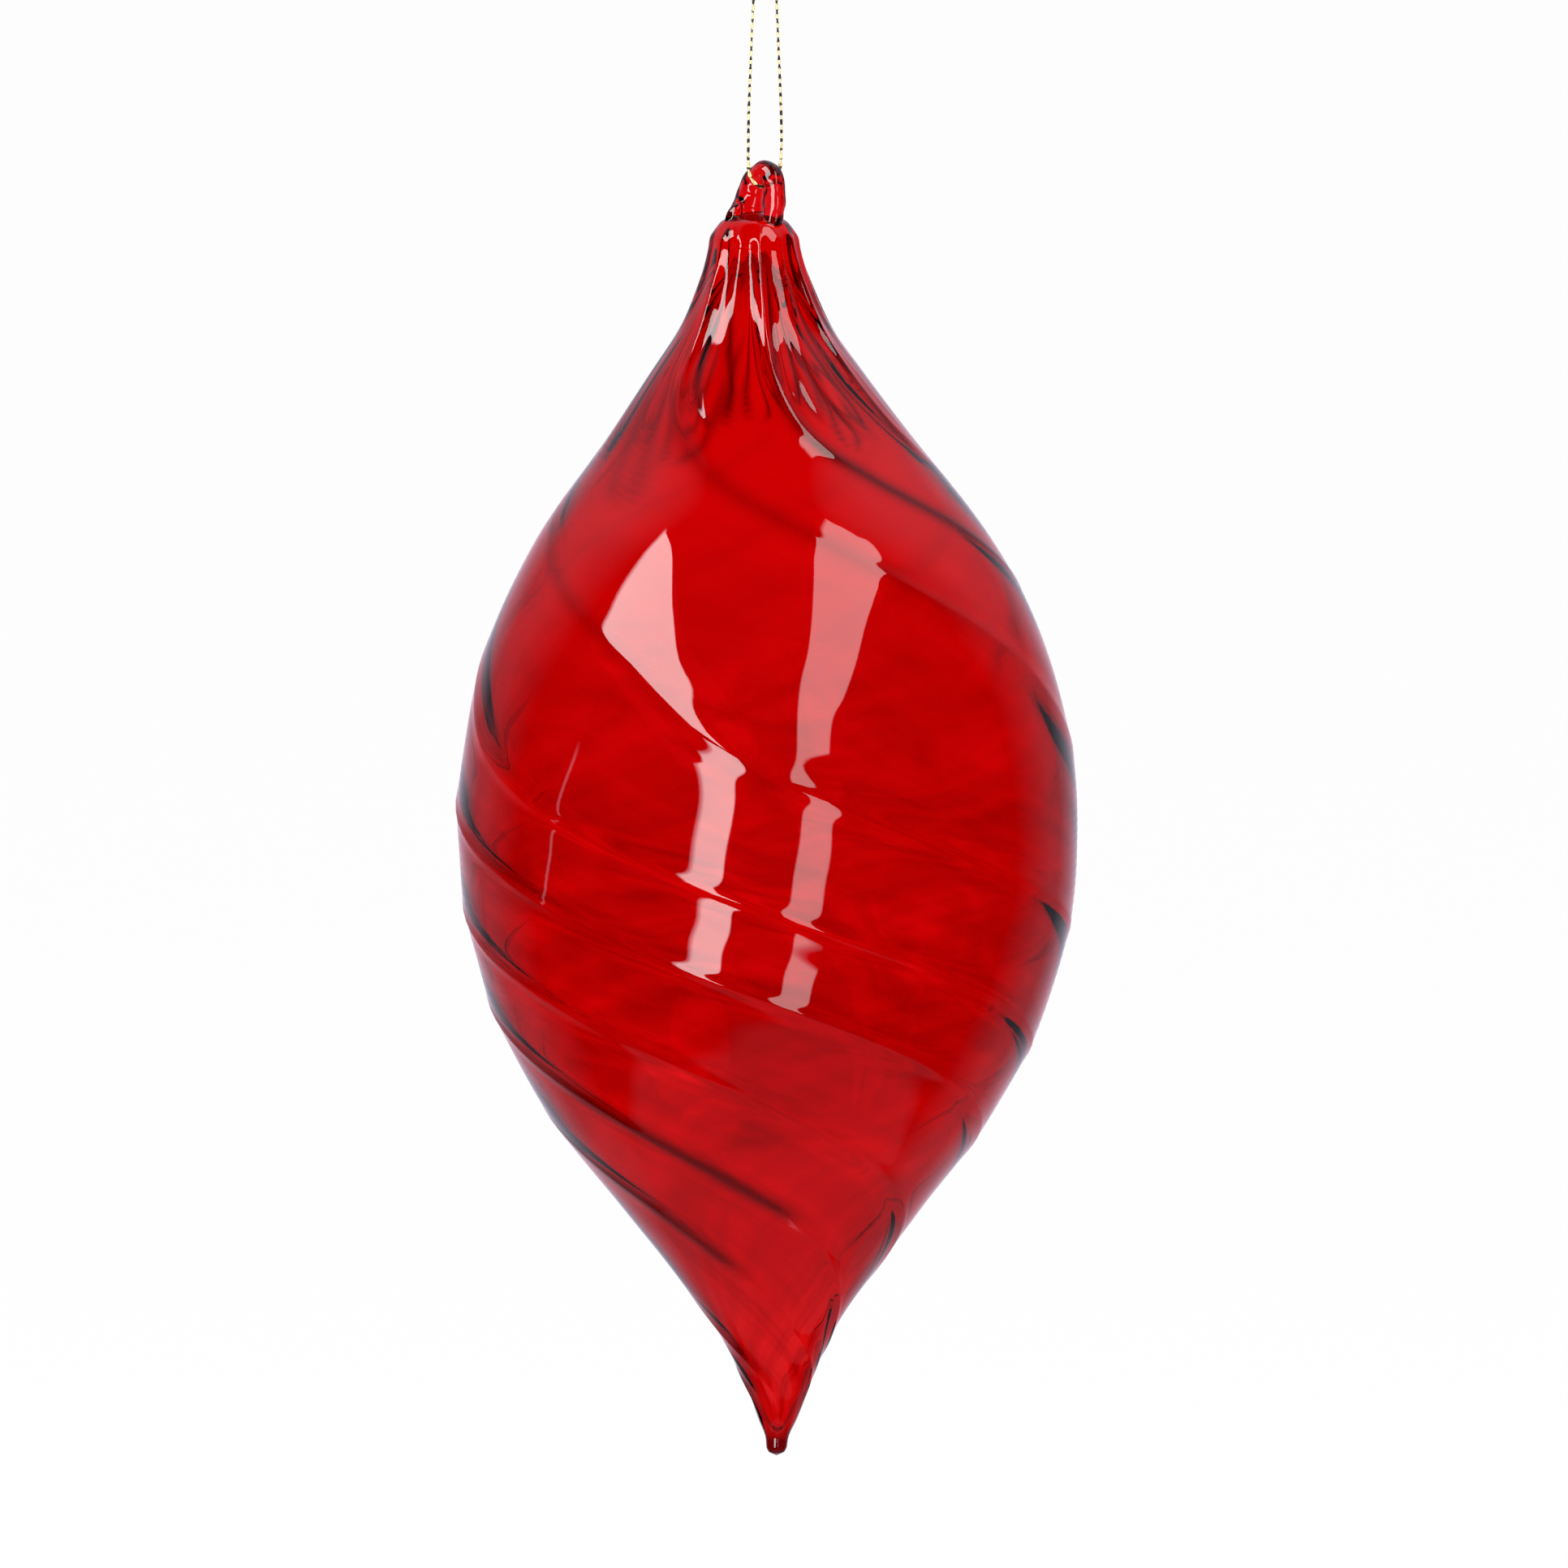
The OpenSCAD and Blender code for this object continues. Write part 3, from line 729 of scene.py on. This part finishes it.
def studio():
    world = bpy.data.worlds.new("studio")
    bpy.context.scene.world = world
    t = Tree(world)
    ray = t.node("ShaderNodeLightPath")
    seen = t.value(ray, "Is Camera Ray")
    entered = t.value(ray, "Transmission Depth").step_over(0.5, 0.1)
    bounced = t.value(ray, "Glossy Depth").step_over(0.5, 0.1)
    way = t.node("ShaderNodeSeparateXYZ",
        Vector=t.node("ShaderNodeTexCoord").outputs["Generated"])
    x, y, z = (t.value(way, k) for k in range(3))
    degrees = 180 / math.pi
    azimuth = x.math("ARCTAN2", 0 - y) * degrees
    elevation = z.math("ARCSINE") * degrees
    side = abs(azimuth)

    def curve(value, points):
        """A smooth number from another, through points."""
        lows, highs = [p[0] for p in points], [p[1] for p in points]
        n = t.node("ShaderNodeFloatCurve")
        c = n.mapping.curves[0]
        base, tall = min(highs), max(highs)
        share = (value - lows[0]) / (lows[-1] - lows[0])
        while len(c.points) < len(points):
            c.points.new(0.5, 0.5)
        for cp, (a, b) in zip(c.points, points):
            cp.location = ((a - lows[0]) / (lows[-1] - lows[0]), (b - base) / (tall - base))
        n.mapping.update()
        t.put(n.inputs["Value"], share.clamp())
        return t.value(n) * (tall - base) + base

    def light_box(value, near, far, low, high, bars=(), soft=0.8):
        """A tall box that leans in over the object, crossed by dark bars."""
        tall = elevation.step_over(low, 1) * (1 - elevation.step_over(high, 1))
        for bar_low, bar_high in bars:
            under_top = 1 - elevation.step_over(bar_high, 0.3)
            tall = tall * (1 - elevation.step_over(bar_low, 0.3) * under_top)
        wide = value.step_over(curve(elevation, near), 0.8)
        return wide * (1 - value.step_over(curve(elevation, far), soft)) * tall

    # the white sweep round the object, dark on the viewer's side
    overhead = 0.2 + 0.24 * elevation.step_over(28, 30)
    sweep = side.step_over(curve(elevation, SWEEP_EDGE), 24) * overhead
    sweep = sweep + side.step_over(158, 36) * 0.65
    table = (0 - elevation).step_over(49, 3) * 0.17
    left = light_box(0 - azimuth, LEFT_BOX_NEAR, LEFT_BOX_FAR, -33, 53, [(12.4, 15.6)], 2.5)
    right = light_box(azimuth, RIGHT_BOX_NEAR, RIGHT_BOX_FAR, -33, 63.3, [(8, 17.5)])
    strip = light_box(0 - azimuth, STRIP_NEAR, STRIP_FAR, -13, 11)
    boxes = left * LEFT_BOX_LIGHT + right * RIGHT_BOX_LIGHT + strip * STRIP_LIGHT
    mirror = sweep.math("MAXIMUM", table) + boxes
    # the same studio as it is seen again inside the glass, much dimmer
    inside = 0.28 + side.step_over(150, 50) * 0.3 + (left + right) * 1.2
    # what is seen straight through the glass: bright behind, darker overhead and in front
    clear = (0.6 + 0.16 * side.step_over(95, 60)) * (1 - 0.6 * elevation.step_over(27, 36))
    light = ROOM_LIGHT + bounced * (1 - entered) * (mirror - ROOM_LIGHT)
    light = light + entered * (1 - bounced) * (clear - ROOM_LIGHT)
    light = light + entered * bounced * (inside - ROOM_LIGHT)
    light = light + seen * (1 - light)
    # walls of the studio are a cool grey, the boxes and the back wall are white
    walls = bounced * (1 - entered) * (1 - (left + right).clamp())
    back_light = t.node("ShaderNodeBackground", Color=t.mix(walls, PLAIN_WHITE, COOL_WALL),
        Strength=light)
    t.node("ShaderNodeOutputWorld", Surface=back_light.outputs[0])


# Lamps: place and size in metres, power in watts
SOFTBOXES = [("softbox_left", (-0.75, -0.85, 0.45), (0.5, 1.0), 9),
    ("softbox_right", (0.8, -0.8, 0.4), (0.45, 0.9), 6)]
LAMP_AIM = (0, 0, -0.15)
TABLE_HEIGHT, TABLE_HALF = -0.40, 12
TABLE_WHITE, TABLE_GLOW = (0.94, 0.94, 0.94, 1), 0.85


def hide_from_glass(thing):
    thing.visible_glossy = False
    thing.visible_transmission = False


def softbox(name, place, size, power):
    data = bpy.data.lights.new(name, "AREA")
    data.shape = "RECTANGLE"
    data.size, data.size_y = size
    data.energy = power
    lamp = placed(name, data)
    lamp.location = place
    aim = Vector(LAMP_AIM) - Vector(place)
    lamp.rotation_euler = aim.to_track_quat("-Z", "Y").to_euler()
    hide_from_glass(lamp)


def white_table():
    m = bpy.data.materials.new("white_table")
    t = Tree(m)
    matte = t.node("ShaderNodeBsdfDiffuse", Color=TABLE_WHITE)
    white = t.node("ShaderNodeEmission", Color=PLAIN_WHITE, Strength=1.0)
    lit = t.value(t.node("ShaderNodeLightPath"), "Is Camera Ray") * TABLE_GLOW
    mixed = t.node("ShaderNodeMixShader")
    for k, value in enumerate((lit, matte.outputs[0], white.outputs[0])):
        t.put(mixed.inputs[k], value)
    t.node("ShaderNodeOutputMaterial", Surface=mixed.outputs[0])
    return m


def table():
    bm = bmesh.new()
    bmesh.ops.create_grid(bm, x_segments=2, y_segments=2, size=TABLE_HALF)
    bmesh.ops.translate(bm, verts=bm.verts, vec=(0, 0, TABLE_HEIGHT))
    mesh = bpy.data.meshes.new("table")
    bm.to_mesh(mesh)
    bm.free()
    mesh.materials.append(white_table())
    thing = placed("table", mesh)
    hide_from_glass(thing)
    return thing


studio()
for box in SOFTBOXES:
    softbox(*box)
floor = table()

bpy.context.scene.view_settings.view_transform = "Standard"

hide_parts("glass_drop")
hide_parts("hanging_thread")
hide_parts("hanging_thread")
for piece in (glass, thread, knot):
    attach(piece, "root")
